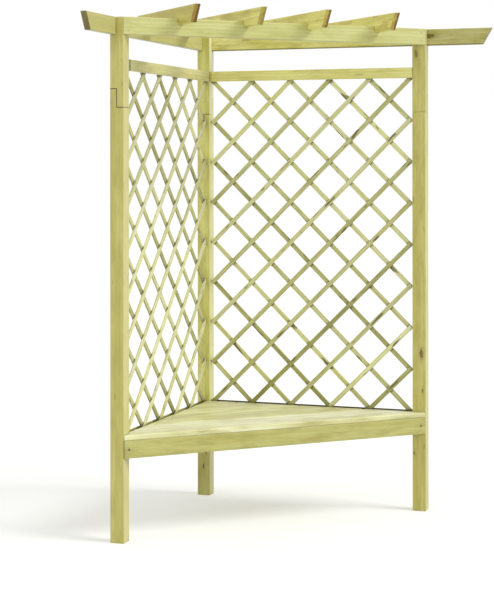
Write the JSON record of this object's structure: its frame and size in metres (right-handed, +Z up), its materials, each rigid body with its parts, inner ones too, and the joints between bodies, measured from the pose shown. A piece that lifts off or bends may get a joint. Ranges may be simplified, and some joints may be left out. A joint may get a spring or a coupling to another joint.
{
  "type": "corner arbour seat",
  "caption": "Corner garden arbour in pressure-treated pine: trellis walls on posts, a triangular slatted seat, and notched rafters over purlins and a diagonal front beam.",
  "frame": {"origin": "middle of the footprint's bounding box, on the ground under the post feet", "axes": "+Z up. The right wall runs along +X at the +Y side, the left wall runs along -Y at the -X side, and the open front faces +X and -Y."},
  "size_m": [1.3, 1.3, 1.97],
  "materials": {
    "post_pine": "sawn and planed pine, green pressure treatment",
    "roof_pine": "planed pine, green pressure treatment, brown end grain",
    "rail_pine": "planed pine, green pressure treatment",
    "trellis_pine": "sawn slats, green pressure treatment",
    "seat_pine": "planed boards, pale, green pressure treatment",
    "bearer_pine": "sawn battens, green pressure treatment",
    "screw_steel": "zinc-plated countersunk wood screws"
  },
  "bodies": {
    "root": {"lower_post_left": "post_pine", "lower_post_corner": "post_pine", "lower_post_right": "post_pine", "upper_post_left": "post_pine", "upper_post_corner": "post_pine", "upper_post_right": "post_pine", "purlin_left": "roof_pine", "purlin_right": "roof_pine", "front_beam": "roof_pine", "rafter_1": "roof_pine", "rafter_2": "roof_pine", "rafter_3": "roof_pine", "rafter_4": "roof_pine", "top_rail_left": "rail_pine", "top_rail_right": "rail_pine", "bottom_rail_left": "rail_pine", "bottom_rail_right": "rail_pine", "lattice_left": "trellis_pine", "lattice_right": "trellis_pine", "foot_strip_left": "trellis_pine", "foot_strip_right": "trellis_pine", "seat_apron": "roof_pine", "seat_board_1": "seat_pine", "seat_board_2": "seat_pine", "seat_board_3": "seat_pine", "seat_board_4": "seat_pine", "seat_bearer_left": "bearer_pine", "seat_bearer_right": "bearer_pine", "seat_bearer_centre": "bearer_pine", "lap_screw_left_upper": "screw_steel", "lap_screw_left_lower": "screw_steel", "lap_screw_corner_upper": "screw_steel", "lap_screw_corner_lower": "screw_steel", "lap_screw_right_upper": "screw_steel", "lap_screw_right_lower": "screw_steel", "purlin_screw_left_post_upper": "screw_steel", "purlin_screw_left_post_lower": "screw_steel", "purlin_screw_left_corner_upper": "screw_steel", "purlin_screw_left_corner_lower": "screw_steel", "purlin_screw_right_post_upper": "screw_steel", "purlin_screw_right_post_lower": "screw_steel", "purlin_screw_right_corner_upper": "screw_steel", "purlin_screw_right_corner_lower": "screw_steel", "beam_screw_left_upper": "screw_steel", "beam_screw_left_lower": "screw_steel", "beam_screw_right_upper": "screw_steel", "beam_screw_right_lower": "screw_steel", "apron_screw_left": "screw_steel", "apron_screw_right": "screw_steel", "rafter_screw_1_front": "screw_steel", "rafter_screw_1_back": "screw_steel", "rafter_screw_2_front": "screw_steel", "rafter_screw_2_back": "screw_steel", "rafter_screw_3_front": "screw_steel", "rafter_screw_3_back": "screw_steel", "rafter_screw_4_front": "screw_steel", "rafter_screw_4_back": "screw_steel"}
  },
  "joints": []
}
